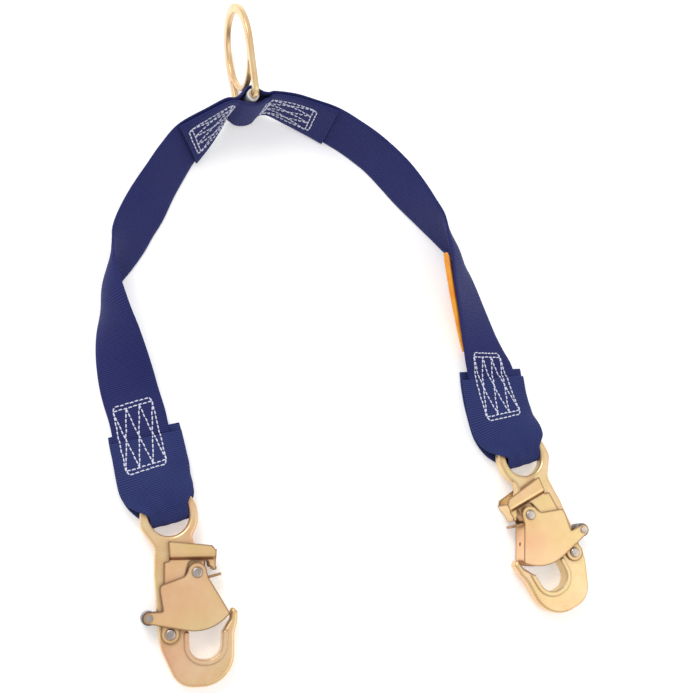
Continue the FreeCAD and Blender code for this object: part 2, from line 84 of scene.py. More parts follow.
STITCH_GAP = 0.28                 # from each end of a stitch to its hole
END_GAP = 2.8                     # a sewn box to the second line of stitches past its end
WRAP_BOX = 41.0                   # length of the sewn box on a wrap
PAD_HALF = 12.5                   # half width of the sewn boxes beside the ring
LABEL_HALF = 8.0                  # half width of the folded label
LABEL_WEAVE_W = 34.0              # width unfolded, for its finish
LABEL_T = 0.6
LABEL_DROP = 3.2                  # label's middle below the strap's

# The strap's centre line, as in the CAD source but carried on under the wraps: x, y, lean of the
# width in degrees, lift, and slant of the width along the strap
LEFT_LEG = [
    (-143.2, -88.0, 178, 2.6, 0), (-147.5, -75.0, 177, 1.9, 0), (-151.0, -61.0, 176, 1.2, 0),
    (-157.0, -43.5, 172, 0.4, 0), (-162.6, -25.0, 156, 0, 0), (-166.9, -8.0, 140, 0, 0),
    (-170.0, 7.5, 122, 0, 0.05), (-171.9, 20.5, 108, 0, 0.3), (-172.0, 31.5, 92, 0, 0.4),
    (-169.8, 42.0, 75, 0, 0.3), (-166.2, 53.0, 61, 0, 0.15), (-162.2, 64.5, 50, 0, 0),
    (-157.6, 76.5, 46, 0, 0), (-150.8, 90.5, 44, 0, 0), (-142.8, 107.0, 49, 0, 0),
    (-133.8, 124.0, 53, 0, 0), (-124.8, 138.1, 57, 0.6, 0), (-109.3, 152.8, 74, 3.5, 0),
    (-98.2, 164.5, 90, 6.5, 0),
]
RIGHT_LEG = [
    (-65.0, 174.0, 92, 6.5, 0), (-49.2, 172.3, 83, 3.5, 0), (-31.3, 167.9, 76, 1.2, 0),
    (-16.5, 162.9, 71, 0, 0), (0.1, 154.1, 70, 0, 0), (16.9, 142.8, 69, 0, 0),
    (31.7, 129.5, 67, 0, 0), (43.5, 116.3, 69, 0, 0), (55.3, 102.3, 77, 0, 0),
    (66.3, 89.1, 86, 0, -0.15), (74.0, 77.0, 100, 0, -0.3), (80.2, 68.5, 114, 0, -0.3),
    (85.0, 58.5, 126, 0, -0.15), (89.4, 44.4, 134, 0, 0), (94.8, 27.0, 142, 0, 0),
    (100.6, 8.0, 152, 0, 0), (106.2, -7.0, 163, 0.3, 0), (111.0, -17.1, 172, 0.9, 0),
    (114.6, -31.0, 174, 1.9, 0), (118.0, -44.0, 176, 2.6, 0),
]

# Where the strap turns over: place, depth of its bow, and reach along the strap
TURNS = [((-172.0, 28.0), 6.0, 25.0), ((76.5, 73.5), 4.5, 16.0)]

# ------------------------------------------------------------------ small maths


def unit(v):
    v = np.asarray(v, float)
    return v / np.maximum(np.linalg.norm(v, axis=-1, keepdims=True), 1e-12)


def smooth_step(t):
    t = np.clip(t, 0.0, 1.0)
    return t * t * (3.0 - 2.0 * t)


def run_along(points):
    """Distance along a line of points, at each point."""
    return np.concatenate([[0.0], np.cumsum(np.linalg.norm(np.diff(points, axis=0), axis=1))])


def columns_at(at, run, rows):
    """Each column of the rows, read at distances along them."""
    return np.stack([np.interp(at, run, rows[:, c]) for c in range(rows.shape[1])], axis=-1)


def moving_mean(rows, size):
    """Each column's running mean over an odd number of rows, the end rows repeated."""
    window = np.ones(size) / float(size)
    return np.stack([np.convolve(np.pad(rows[:, c], size // 2, mode="edge"), window, mode="valid")
                     for c in range(rows.shape[1])], axis=1)


def through(rows, count):
    """Rows of numbers sampled along the smooth curve through them (centripetal spline)."""
    rows = np.asarray(rows, float)
    gaps = np.linalg.norm(np.diff(rows[:, :3], axis=0), axis=1) ** 0.5
    knots = np.concatenate([[0.0], np.cumsum(np.maximum(gaps, 1e-6))])
    slopes = np.zeros_like(rows)
    steps = np.diff(knots)[:, None]
    secants = np.diff(rows, axis=0) / steps
    slopes[1:-1] = (secants[:-1] * steps[1:] + secants[1:] * steps[:-1]) / (steps[1:] + steps[:-1])
    slopes[0] = secants[0]
    slopes[-1] = secants[-1]
    at = np.linspace(0.0, knots[-1], count)
    k = np.clip(np.searchsorted(knots, at, side="right") - 1, 0, len(rows) - 2)
    h = np.diff(knots)[k][:, None]
    t = ((at - knots[k])[:, None]) / h
    a, b = rows[k], rows[k + 1]
    ma, mb = slopes[k] * h, slopes[k + 1] * h
    return ((2 * t**3 - 3 * t**2 + 1) * a + (t**3 - 2 * t**2 + t) * ma
            + (-2 * t**3 + 3 * t**2) * b + (t**3 - t**2) * mb)


def even(rows, step):
    """The same curve at even steps of its first three columns."""
    fine = through(rows, 40 * len(rows))
    run = run_along(fine[:, :3])
    count = max(4, int(round(run[-1] / step)) + 1)
    at = np.linspace(0.0, run[-1], count)
    return columns_at(at, run, fine), at


def soft_noise(x, y, seed):
    """A smooth repeatable waviness between about -1 and 1."""
    rng = np.random.default_rng(seed)
    total = 0.0
    for k in range(5):
        fx, fy, phase = rng.uniform(0.6, 1.6), rng.uniform(0.6, 1.6), rng.uniform(0, 6.28)
        wave = np.sin(x * fx * (1 + k * 0.6) + y * fy * (1 + k * 0.5) + phase)
        total = total + wave / (1.0 + k)
    return total / 2.3


# ------------------------------------------------------------------ meshes


def new_object(name, vertices, faces, smooth=True):
    """An object in the scene from vertices in metres."""
    mesh = bpy.data.meshes.new(name)
    mesh.from_pydata(np.asarray(vertices).tolist(), [], faces)
    mesh.update()
    if smooth:
        mesh.shade_smooth()
    made = bpy.data.objects.new(name, mesh)
    bpy.context.scene.collection.objects.link(made)
    return made


def store(made, name, values):
    """A vector attribute on the points, read by the material."""
    attribute = made.data.attributes.new(name, "FLOAT_VECTOR", "POINT")
    attribute.data.foreach_set("vector", np.asarray(values, np.float32).ravel())


def grid_normals(grid):
    return unit(np.cross(np.gradient(grid, axis=0), np.gradient(grid, axis=1)))


def recalculate(made):
    """Every face points outwards."""
    work = bmesh.new()
    work.from_mesh(made.data)
    bmesh.ops.recalc_face_normals(work, faces=work.faces)
    work.to_mesh(made.data)
    work.free()
    made.data.update()


def band_half(run, t, width, thick, ribs):
    """Half thickness of a woven band at each row and column, with its ribs and warp yarns."""
    rib = np.zeros(len(run))
    if ribs:
        rib = RIB_HEIGHT * (np.abs(np.sin(math.pi * run / RIB_PITCH)) - 0.6)
    selvedge = 1.0 - 0.30 * np.clip((np.abs(t) - 0.93) / 0.07, 0.0, 1.0) ** 2
    half = (thick / 2.0) * selvedge[None, :] + rib[:, None] * (0.4 + 0.6 * selvedge[None, :])
    if ribs:
        yarn = YARN_HEIGHT * np.sin(t * width / 2.0 * 2.0 * math.pi / YARN_PITCH)
        sign = np.where(np.floor(run / RIB_PITCH).astype(int) % 2 == 0, 1.0, -1.0)
        half = half + yarn[None, :] * sign[:, None]
    to_end = np.minimum(run - run[0], run[-1] - run)
    return half * (0.75 + 0.25 * np.clip(to_end / 0.8, 0.0, 1.0))[:, None]


def selvedge_points(first, middle, last, out):
    """Three points round a band's edge, from one face's edge to the other's."""
    return [first * 0.72 + last * 0.28 + out * 0.8, middle + out,
            first * 0.28 + last * 0.72 + out * 0.8]


def end_faces(base, cols):
    """Faces that close one end of a band whose loop of points starts at base."""
    turn = base + 2 * cols + 3        # the first selvedge point of the second side
    faces = []
    for k in range(cols - 1):
        faces.append([base + k, base + k + 1, turn - 2 - k, turn - 1 - k])
    faces.append([base + cols - 1 + k for k in range(5)])
    faces.append([turn - 1 + k for k in range(4)] + [base])
    return faces


def woven(name, grid, run, width, thick=WEB_T, ribs=True):
    """A closed woven band from its middle surface, a grid of points in mm (along, across).

    run is the distance along at each row and width the real width. Ribs are raised on both faces.
    """
    rows, cols = grid.shape[:2]
    t = np.linspace(-1.0, 1.0, cols)
    rise = grid_normals(grid) * band_half(run, t, width, thick, ribs)[..., None]
    top, low = grid + rise, grid - rise
    out_a = unit(grid[:, 0] - grid[:, 1]) * (thick * SIDE_OUT)
    out_b = unit(grid[:, -1] - grid[:, -2]) * (thick * SIDE_OUT)
    side_a = selvedge_points(low[:, 0], grid[:, 0], top[:, 0], out_a)
    side_b = selvedge_points(top[:, -1], grid[:, -1], low[:, -1], out_b)
    loops = np.concatenate(
        [top, np.stack(side_b, axis=1), low[:, ::-1], np.stack(side_a, axis=1)], axis=1)
    around = loops.shape[1]
    index = np.arange(rows * around).reshape(rows, around)
    near, far = index[:-1], index[1:]
    quads = np.stack([near, np.roll(near, -1, 1), np.roll(far, -1, 1), far], axis=-1)
    faces = quads.reshape(-1, 4).tolist()
    faces += end_faces(0, cols)
    faces += [loop[::-1] for loop in end_faces((rows - 1) * around, cols)]
    made = new_object(name, loops.reshape(-1, 3) * MM, faces)
    recalculate(made)
    u = np.concatenate([t, [1.05] * 3, t[::-1], [-1.05] * 3]) * width / 2.0
    face = np.concatenate([np.ones(cols), np.zeros(3), -np.ones(cols), np.zeros(3)])
    data = [np.broadcast_to(v, (rows, around)) for v in (u, run[:, None], face)]
    store(made, "weave", np.stack(data, axis=-1))
    return made


# ------------------------------------------------------------------ strap paths


def leg_rows(leg):
    """Rows x, y, z and width direction for a leg's listed points."""
    rows = []
    for i, (x, y, lean, lift, skew) in enumerate(leg):
        first, last = leg[max(i - 1, 0)], leg[min(i + 1, len(leg) - 1)]
        along = unit([last[0] - first[0], last[1] - first[1], 0.0])
        side = np.cross(UP, along)
        angle = math.radians(lean)
        width = unit(side * math.cos(angle) + UP * math.sin(angle) + along * skew)
        height = GROUND_GAP + lift + WEB_W / 2.0 * width[2] + REST_T * abs(math.cos(angle))
        rows.append([x, y, height, *width])
    return rows


def ring_axes():
    """Bar centre, the ring's normal, the way to the eye and the way along the bar, in mm."""
    joint = JOINTS["ring_swing"]
    bar = np.array(joint["pos_m"]) / MM
    along_bar = unit(joint["axis"])
    eye = [m for m in frame["record"]["mounts"] if m["name"] == "ring_eye"][0]
    to_eye = unit(np.array(eye["pos_m"]) / MM - bar)
    return bar, np.cross(to_eye, along_bar), to_eye, along_bar


def ring_rows(points):
    """Rows for strap points by the bar: across the ring, towards the eye, lean of the width."""
    bar, normal, to_eye, along_bar = ring_axes()
    bar = bar + along_bar * BAR_SHIFT
    rows = []
    for s, t, lean in points:
        rows.append([*(bar + normal * s + to_eye * t), *unit(along_bar + to_eye * lean)])
    return rows


def arc(radius, first, last, count):
    """Points round the bar for ring_rows, between two angles in degrees from the eye's side."""
    angles = np.radians(np.linspace(first, last, count))
    return [(radius * math.sin(a), radius * math.cos(a), 0.0) for a in angles]


def row_normals(rows):
    """The side a band faces at each row of its point and width direction."""
    tangent = unit(np.gradient(rows[:, :3], axis=0))
    return unit(np.cross(tangent, rows[:, 3:6]))


def band_grid(rows, wave, seed):
    """Middle surface of a strap along rows of its point and width direction, a little wavy."""
    line, run = even(rows, RIB_STEP)
    across = unit(line[:, 3:6])
    normal = row_normals(np.concatenate([line[:, :3], across], axis=1))
    t = np.linspace(-1.0, 1.0, WEB_COLUMNS)
    grid = line[:, None, :3] + across[:, None] * (t[None, :, None] * WEB_W / 2.0)
    lift = wave * soft_noise(run[:, None] / 11.0, t[None, :] * 1.3, seed)
    return grid + normal[:, None] * lift[..., None], run


def shifted(rows, distance):
    """The same band moved off its middle surface, to the side away from the ring's eye."""
    rows = np.asarray(rows, float)
    normal = row_normals(rows)
    away = -ring_axes()[2]
    flip = np.where((normal @ away) < 0, -1.0, 1.0)[:, None]
    moved = rows.copy()
    moved[:, :3] += normal * flip * distance
    return moved.tolist()


def bulged(grid, run):
    """The strap bows outwards where it turns over, instead of pinching to an edge."""
    middle = grid.shape[1] // 2
    t = np.linspace(-1.0, 1.0, grid.shape[1])
    normal = grid_normals(grid)
    for place, depth, reach in TURNS:
        where = np.argmin(np.linalg.norm(grid[:, middle, :2] - np.array(place), axis=1))
        fade = np.exp(-((run - run[where]) / reach) ** 2)
        sign = 1.0 if normal[where, middle, 0] > 0 else -1.0
        outward = -1.0 if place[0] < 0 else 1.0
        bow = sign * outward * depth * fade[:, None] * (1.0 - t[None, :] ** 2)
        grid = grid + normal * bow[..., None]
    return grid


def build_main_web():
    over = ring_rows([(-13.0, -1.4, 0.0), (-8.6, 0.5, 0.0)] + arc(6.3, -50, 50, 5)
                     + [(8.6, 1.6, 0.0), (13.0, 0.8, 0.0)])
    grid, run = band_grid(leg_rows(LEFT_LEG) + over + leg_rows(RIGHT_LEG), 0.25, 3)
    return woven("main_web_woven", bulged(grid, run), run, WEB_W)


def keeper_rows():
    """The keeper lies under the legs' inner ends and passes below the bar."""
    side = [(13.2, -4.2, 0.05), (9.8, -5.6, 0.10), (6.4, -8.0, 0.14), (2.4, -9.1, 0.15)]
    under = ring_rows([(-s, t, lean) for s, t, lean in side] + side[::-1])
    left = shifted(leg_rows(LEFT_LEG), KEEPER_STEP)[-3:]
    right = shifted(leg_rows(RIGHT_LEG), KEEPER_STEP)[:4]
    return left + under + right


def build_keeper():
    grid, run = band_grid(keeper_rows(), 0.12, 8)
    return woven("keeper_woven", grid, run, WEB_W), grid, run


# ------------------------------------------------------------------ wraps round the hooks' eyes

# A wrap from its upper cut end, round the bight in the eye, to its lower cut end: distance from
# the eye's centre towards the leg, half width, and height over the hook's middle plane at the
# middle and at the edges
WRAP_ROWS = [
    (57.0, 24.4, -2.8, -3.4), (48.0, 24.6, -1.0, -3.0), (40.0, 24.8, 1.4, -2.6),
    (31.0, 25.0, 4.8, -1.6), (24.0, 24.6, 7.2, -0.4), (17.0, 23.2, 8.2, 2.0),
    (12.5, 21.0, 8.0, 4.6), (9.0, 18.2, 7.2, 6.9), (6.0, 14.8, 6.2, 6.7),
    (3.2, 13.0, 4.9, 5.4), (0.0, 12.9, 3.6, 4.0),
    (-3.2, 12.7, 1.8, 2.0), (-4.6, 12.5, -0.4, -0.4),
    (-3.2, 12.7, -3.0, -3.0), (-0.4, 12.9, -5.2, -5.6), (3.5, 17.4, -6.6, -6.8),
    (8.0, 20.6, -7.2, -7.3), (13.0, 22.6, -7.4, -7.2), (24.0, 23.6, -7.6, -7.2),
    (40.0, 24.2, -7.9, -7.8), (56.0, 24.6, -7.9, -7.9), (62.7, 24.4, -7.8, -7.8),
]
# For each wrap: its middle line in plan past the eye, sideways tilt in degrees, extra length,
# seeds, and the corners of its sewn box in plan (top left, top right, bottom right, bottom left)
HOOKS = {
    "left": {
        "plan": [(-136.5, -110.0), (-139.8, -97.0), (-143.3, -82.1), (-147.2, -65.6),
                 (-151.6, -50.0)],
        "tilt": -3.0, "longer": 0.0, "seed": 21, "seam_seed": 9,
        "box": [(-167.8, -58.2), (-141.5, -49.5), (-130.8, -90.9), (-157.5, -99.7)],
    },
    "right": {
        "plan": [(120.2, -60.0), (117.3, -50.0), (114.4, -36.0), (112.5, -18.3), (111.0, -5.0),
                 (110.0, 6.0)],
        "tilt": 1.5, "longer": 7.5, "seed": 33, "seam_seed": 10,
        "box": [(95.2, -8.4), (119.5, -6.0), (130.5, -47.8), (104.2, -53.8)],
    },
}


def hook_axes(side):
    """The eye's centre and the way from it to the leg, in mm."""
    joint = JOINTS["hook_%s_swing" % side]
    axis = unit(joint["axis"])
    ahead = np.array([-axis[1], axis[0], 0.0])
    if ahead[1] < 0:
        ahead = -ahead
    return np.array(joint["pos_m"]) / MM - ahead * HOOK_BAR, ahead


def wrap_plan(side):
    """A function from distance to plan point and across direction, along a wrap's middle."""
    eye, ahead = hook_axes(side)
    points = [eye + ahead * q for q in (-8.0, 0.0, 8.0)]
    points += [np.array([x, y, eye[2]]) for x, y in HOOKS[side]["plan"]]
    line, run = even(points, 0.5)
    start = run[np.argmin(np.linalg.norm(line - eye, axis=1))]
    tangent = unit(moving_mean(unit(np.gradient(line, axis=0)), 61))

    def at(q):
        where = np.clip(np.asarray(q) + start, 0.0, run[-1])
        return columns_at(where, run, line), np.cross(UP, unit(columns_at(where, run, tangent)))
    return at


def wrap_grid(side):
    """Middle surface of the wrap, from the upper cut end round the bight to the lower one."""
    spec = HOOKS[side]
    table = []
    for q, half, z_mid, z_edge in WRAP_ROWS:
        table.append([q + spec["longer"] * max(0.0, q - 17.0) / 40.0, z_mid, 0.0, half, z_edge])
    line, run = even(table, RIB_STEP)
    q, z_mid, half, z_edge = line[:, 0], line[:, 1], line[:, 3], line[:, 4]
    centre, across = wrap_plan(side)(q)
    t = np.linspace(-1.0, 1.0, WRAP_COLUMNS)
    shape = np.abs(t) ** 2.4
    height = z_mid[:, None] + (z_edge - z_mid)[:, None] * shape[None, :]
    fade = smooth_step((q - 18.0) / 34.0)
    offset = t[None, :] * half[:, None]
    height = height + math.tan(math.radians(spec["tilt"])) * offset * fade[:, None]
    slope = unit(np.gradient(np.stack([q, z_mid], axis=1), axis=0))
    ripple = 0.50 * soft_noise(run[:, None] / 7.0, t[None, :] * 2.2, spec["seed"])
    pleat = 0.9 * np.cos(t * 9.0 + 0.6)[None, :] * np.exp(-((q - 6.0) / 9.0) ** 2)[:, None]
    push = ripple + pleat * 0.6
    grid = centre[:, None] + across[:, None] * offset[..., None]
    ahead = np.cross(across, UP)
    grid = grid + ahead[:, None] * (-slope[:, 1][:, None] * push)[..., None]
    grid[..., 2] += height + slope[:, 0][:, None] * push
    grid[..., 2] = np.maximum(grid[..., 2], WRAP_FLOOR)
    return grid, run


def build_wrap(side):
    return woven("wrap_%s_woven" % side, *wrap_grid(side), WRAP_W, WRAP_T)


# ------------------------------------------------------------------ stitching

# Along one stitch: the thread's height over the web, and its radius as a share of THREAD_R
STITCH_RISE = (-0.30, 0.10, 0.34, 0.42, 0.34, 0.10, -0.30)
STITCH_SWELL = (0.55, 0.95, 1.05, 1.08, 1.05, 0.95, 0.55)


def sewn_box(length):
    """Sewing lines on the unit square (across, along): outline, both zigzags, double ends."""
    thirds = [i / 3.0 for i in range(4)]
    outline = [[(0, 0), (0, 1)], [(0, 1), (1, 1)], [(1, 1), (1, 0)], [(1, 0), (0, 0)]]
    zigzags = [[(x, float((i + phase) % 2)) for i, x in enumerate(thirds)] for phase in (1, 0)]
    gap = END_GAP / length
    ends = [[(0, 1), (0.06, 1 + gap), (0.94, 1 + gap), (1, 1)],
            [(0, 0), (0.06, -gap), (0.94, -gap), (1, 0)]]
    return outline + zigzags + ends


def stitch_runs(lines, place, seed):
    """Points and normals of each stitch along the lines; place takes unit square points to both."""
    rng = np.random.default_rng(seed)
    runs = []
    for line in lines:
        fine = []
        for (ax, ay), (bx, by) in zip(line, line[1:]):
            steps = np.linspace(0, 1, 40, endpoint=False)
            fine += [(ax + (bx - ax) * s, ay + (by - ay) * s) for s in steps]
        fine.append(line[-1])
        points, normals = place(np.array(fine))
        good = ~np.isnan(points[:, 0])
        points, normals = points[good], normals[good]
        if len(points) < 4:
            continue
        run = run_along(points)
        count = max(1, int(round(run[-1] / STITCH_PITCH)))
        length = run[-1] / count
        for k in range(count):
            a = k * length + STITCH_GAP + rng.uniform(-0.12, 0.12)
            b = (k + 1) * length - STITCH_GAP + rng.uniform(-0.12, 0.12)
            at = np.linspace(a, b, len(STITCH_RISE))
            p = columns_at(at, run, points)
            n = unit(columns_at(at, run, normals))
            sway = np.cross(n[3], unit(p[-1] - p[0])) * rng.uniform(-0.22, 0.22)
            runs.append((p + sway, n))
    return runs


def sew(name, runs):
    """One mesh of twisted thread lengths, each rising out of the web and diving back in."""
    rings, sides = len(STITCH_RISE), range(THREAD_SIDES)
    vertices, faces, data = [], [], []
    for number, (points, normals) in enumerate(runs):
        base = len(vertices)
        path = points + normals * np.array(STITCH_RISE)[:, None]
        tangent = unit(np.gradient(path, axis=0))
        side = unit(np.cross(tangent, normals))
        rise = np.cross(side, tangent)
        length = np.linalg.norm(points[-1] - points[0])
        for i in range(rings):
            for k in sides:
                angle = 2 * math.pi * k / THREAD_SIDES
                twist = 1.0 + 0.13 * math.cos(2 * angle + i * 1.5)
                r = THREAD_R * STITCH_SWELL[i] * twist
                vertices.append(path[i] + side[i] * math.cos(angle) * r
                                + rise[i] * math.sin(angle) * r * 0.8)
                data.append((i / (rings - 1.0) * length, number * 0.37 % 1.0, angle))
        for a in range(base, base + (rings - 1) * THREAD_SIDES, THREAD_SIDES):
            b = a + THREAD_SIDES
            for k in sides:
                j = (k + 1) % THREAD_SIDES
                faces.append([a + k, a + j, b + j, b + k])
        faces.append([base + k for k in sides][::-1])
        faces.append([base + (rings - 1) * THREAD_SIDES + k for k in sides])
    made = new_object(name, np.array(vertices) * MM, faces)
    recalculate(made)
    store(made, "thread", data)
    return made


def uppermost(trees, x, y):
    """The highest point under a plan point and its normal, in mm, or None."""
    best = None
    for tree in trees:
        hit, normal, _, _ = tree.ray_cast(Vector((x * MM, y * MM, 0.2)), Vector((0, 0, -1)))
        if hit is not None and (best is None or hit.z > best[0].z):
            best = (hit, normal)
    return best and (np.array(best[0]) / MM, np.array(best[1]))


def on_surface(corners, targets):
    """Places unit square points on the uppermost face under four plan corners (TL, TR, BR, BL)."""
    tl, tr, br, bl = [np.array(c, float) for c in corners]
    trees = [BVHTree.FromObject(t, bpy.context.evaluated_depsgraph_get()) for t in targets]

    def place(square):
        points, normals = [], []
        for x, y in square:
            plan = (bl * (1 - x) + br * x) * (1 - y) + (tl * (1 - x) + tr * x) * y
            point, normal = uppermost(trees, *plan) or ([np.nan] * 3, [0, 0, 1])
            points.append(point)
            normals.append(normal)
        points, normals = np.array(points), np.array(normals)
        points[:, 2] = np.maximum(moving_mean(points, 5)[:, 2], points[:, 2] - 0.1)
        return points, unit(moving_mean(normals, 5))
    return place


def on_band(grid, run, span, out):
    """Places unit square points on one face of a band: across is the width, along is the run."""
    normal = grid_normals(grid)
    cols = grid.shape[1]
    width = np.linalg.norm(grid[0, -1] - grid[0, 0])

    def place(square):
        points, normals = [], []
        for x, y in square:
            row = np.interp(span[0] + (span[1] - span[0]) * y, run, np.arange(len(run)))
            col = (0.5 + (x - 0.5) * 2 * PAD_HALF / width) * (cols - 1)
            i, j = int(min(row, len(run) - 2)), int(min(col, cols - 2))
            fi, fj = row - i, col - j
            p = ((grid[i, j] * (1 - fj) + grid[i, j + 1] * fj) * (1 - fi)
                 + (grid[i + 1, j] * (1 - fj) + grid[i + 1, j + 1] * fj) * fi)
            n = normal[i, j] * out
            points.append(p + n * WEB_T / 2.0)
            normals.append(n)
        return np.array(points), np.array(normals)
    return place


# ------------------------------------------------------------------ materials


def rgb(r, g, b):
    """Linear colour from display values 0..255."""
    def channel(c):
        c = c / 255.0
        return c / 12.92 if c <= 0.04045 else ((c + 0.055) / 1.055) ** 2.4
    return (channel(r), channel(g), channel(b), 1.0)


class Nodes:
    """Short hand for building one node material."""

    def __init__(self, name):
        self.material = bpy.data.materials.new(name)
        self.material.use_nodes = True
        self.tree = self.material.node_tree
        self.shader = self.tree.nodes["Principled BSDF"]

    def add(self, kind, **values):
        node = self.tree.nodes.new("ShaderNode" + kind)
        for key, value in values.items():
            if hasattr(node, key):
                setattr(node, key, value)
        return node

    def link(self, a, b):
        self.tree.links.new(a, b)

    def set(self, **values):
        for key, value in values.items():
            self.shader.inputs[key.replace("_", " ")].default_value = value

    def math(self, operation, a, b=None):
        node = self.add("Math", operation=operation)
        for i, v in enumerate((a, b)):
            if v is None:
                continue
            if isinstance(v, (int, float)):
                node.inputs[i].default_value = v
            else:
                self.link(v, node.inputs[i])
        return node.outputs[0]

    def scaled(self, value, factor, plus=0.0):
        """value * factor + plus"""
        return self.math("ADD", self.math("MULTIPLY", value, factor), plus)

    def mix(self, share, a, b):
        node = self.add("Mix")
        node.data_type = "RGBA"
        for socket, v in ((node.inputs[0], share), (node.inputs[6], a), (node.inputs[7], b)):
            if isinstance(v, (int, float, tuple)):
                socket.default_value = v
            else:
                self.link(v, socket)
        return node.outputs[2]

    def noise(self, vector, scale, detail, rough):
        node = self.add("TexNoise")
        node.inputs["Scale"].default_value = scale
        node.inputs["Detail"].default_value = detail
        node.inputs["Roughness"].default_value = rough
        self.link(vector, node.inputs["Vector"])
        return node.outputs["Fac"]

    def occlusion(self, distance, inside=False):
        node = self.add("AmbientOcclusion", samples=8, inside=inside)
        node.inputs["Distance"].default_value = distance
        return node.outputs["AO"]

    def corner_shade(self):
        """Mask for painted shade: 1 on open faces, falling to 0 in corners and narrow gaps."""
        return self.math("SMOOTH_MIN", self.math("MULTIPLY", self.occlusion(0.004), 1.15), 1.0)

    def edge(self):
        """Mask for painted shade: 0 on broad faces, rising to 1 along the part's own sharp edges."""
        near = self.math("SUBTRACT", 1.0, self.occlusion(0.0014, inside=True))
        return self.math("MINIMUM", self.math("MULTIPLY", near, 1.8), 1.0)

    def ramp(self, value, stops):
        node = self.add("ValToRGB")
        elements = node.color_ramp.elements
        while len(elements) < len(stops):
            elements.new(0.5)
        for element, (position, colour) in zip(elements, stops):
            element.position = position
            element.color = colour
        self.link(value, node.inputs["Fac"])
        return node.outputs["Color"]

    def bump(self, height, strength, distance):
        node = self.add("Bump")
        node.inputs["Strength"].default_value = strength
        node.inputs["Distance"].default_value = distance
        self.link(height, node.inputs["Height"])
        self.link(node.outputs["Normal"], self.shader.inputs["Normal"])

    def base(self, colour):
        self.link(colour, self.shader.inputs["Base Color"])

    def rough(self, value):
        self.link(value, self.shader.inputs["Roughness"])

    def stored(self, name):
        """The vector that the mesh holds at each point."""
        return self.add("Attribute", attribute_name=name).outputs["Vector"]

    def split(self, vector):
        node = self.add("SeparateXYZ")
        self.link(vector, node.inputs[0])
        return node.outputs

    def place(self):
        return self.add("TexCoord").outputs["Object"]


def web_material(name, dark, base, light):
    """Ribbed polyester webbing: weft ribs and warp yarns with painted shade in their grooves and painted light on
    their crowns, and patches faded to the crowns' colour.
    """
    m = Nodes(name)
    data = m.stored("weave")
    u, v = m.split(data)[:2]
    rib = m.math("ABSOLUTE", m.math("SINE", m.math("MULTIPLY", v, math.pi / RIB_PITCH)))
    row = m.math("FLOOR", m.math("DIVIDE", v, RIB_PITCH))
    shift = m.math("MULTIPLY", m.math("MODULO", row, 2.0), math.pi)
    turn = m.math("MULTIPLY", u, 2 * math.pi / YARN_PITCH)
    yarn = m.scaled(m.math("SINE", m.math("ADD", turn, shift)), 0.5, 0.5)
    weave = m.math("ADD", m.math("MULTIPLY", rib, 0.86), m.math("MULTIPLY", yarn, 0.14))
    fibre = m.noise(data, 2.6, 4.0, 0.6)
    patch = m.noise(data, 0.06, 3.0, 0.5)
    fuzz = m.math("MULTIPLY", fibre, 0.35)
    shade = m.math("ADD", m.math("MULTIPLY", weave, 0.75), fuzz)
    # painted shade in the rib and yarn grooves (dark) and painted light on their crowns (light)
    colour = m.ramp(shade, [(0.12, dark), (0.52, base), (0.95, light)])
    faded = m.math("MULTIPLY", m.math("SMOOTH_MIN", patch, 0.8), 0.35)
    m.base(m.mix(faded, colour, light))
    m.bump(m.math("ADD", weave, fuzz), 0.55, 0.00035)
    m.rough(m.scaled(fibre, 0.2, 0.62))
    m.set(Sheen_Weight=0.12, Sheen_Roughness=0.45, Sheen_Tint=rgb(150, 160, 215),
          Specular_IOR_Level=0.28)
    return m.material


def thread_material():
    """White sewing thread, with painted shade and painted light along the twist of each stitch."""
    m = Nodes("thread_white")
    along, _, angle = m.split(m.stored("thread"))
    turn = m.math("ADD", m.math("MULTIPLY", along, 7.0), m.math("MULTIPLY", angle, 2.0))
    twist = m.scaled(m.math("SINE", turn), 0.5, 0.5)
    # painted shade in the grooves of the twist, painted light on its plies
    m.base(m.ramp(twist, [(0.0, rgb(205, 210, 240)), (1.0, rgb(250, 250, 255))]))
    m.bump(twist, 0.5, 0.0002)
    m.set(Roughness=0.55, Sheen_Weight=0.2)
    return m.material


def zinc_material(name, low, mid, high, rough, scale):
    """Yellow zinc plating: gold with faint pink and green bands, painted shade in corners and along sharp edges,
    and fine scratches.
    """
    m = Nodes(name)
    place = m.place()
    patch = m.noise(place, 38.0 * scale, 3.0, 0.55)
    fine = m.noise(place, 900.0, 4.0, 0.65)
    broad = m.noise(place, 16.0 * scale, 2.0, 0.5)
    colour = m.ramp(patch, [(0.30, low), (0.50, mid), (0.68, high)])
    hue = m.ramp(broad, [(0.32, rgb(252, 186, 158)), (0.45, rgb(252, 208, 154)),
                         (0.55, rgb(236, 218, 142)), (0.70, rgb(252, 194, 162))])
    # painted shade: corners and narrow gaps darkened towards dark brown
    colour = m.mix(m.corner_shade(), rgb(96, 50, 30), m.mix(0.45, colour, hue))
    # painted shade: the part's sharp edges darkened towards dark brown
    m.base(m.mix(m.edge(), colour, rgb(122, 70, 46)))
    grain = m.math("ADD", m.math("MULTIPLY", fine, 0.16), m.math("MULTIPLY", patch, 0.12))
    m.rough(m.math("ADD", grain, rough - 0.14))
    stretch = m.add("Mapping")
    stretch.inputs["Scale"].default_value = (260.0, 40.0, 260.0)
    m.link(place, stretch.inputs["Vector"])
    scratch = m.noise(stretch.outputs["Vector"], 1.0, 5.0, 0.7)
    height = m.math("ADD", m.math("MULTIPLY", fine, 0.5), m.math("MULTIPLY", scratch, 0.6))
    m.bump(height, 0.045, 0.00025)
    m.set(Metallic=0.6, Specular_IOR_Level=0.5)
    return m.material


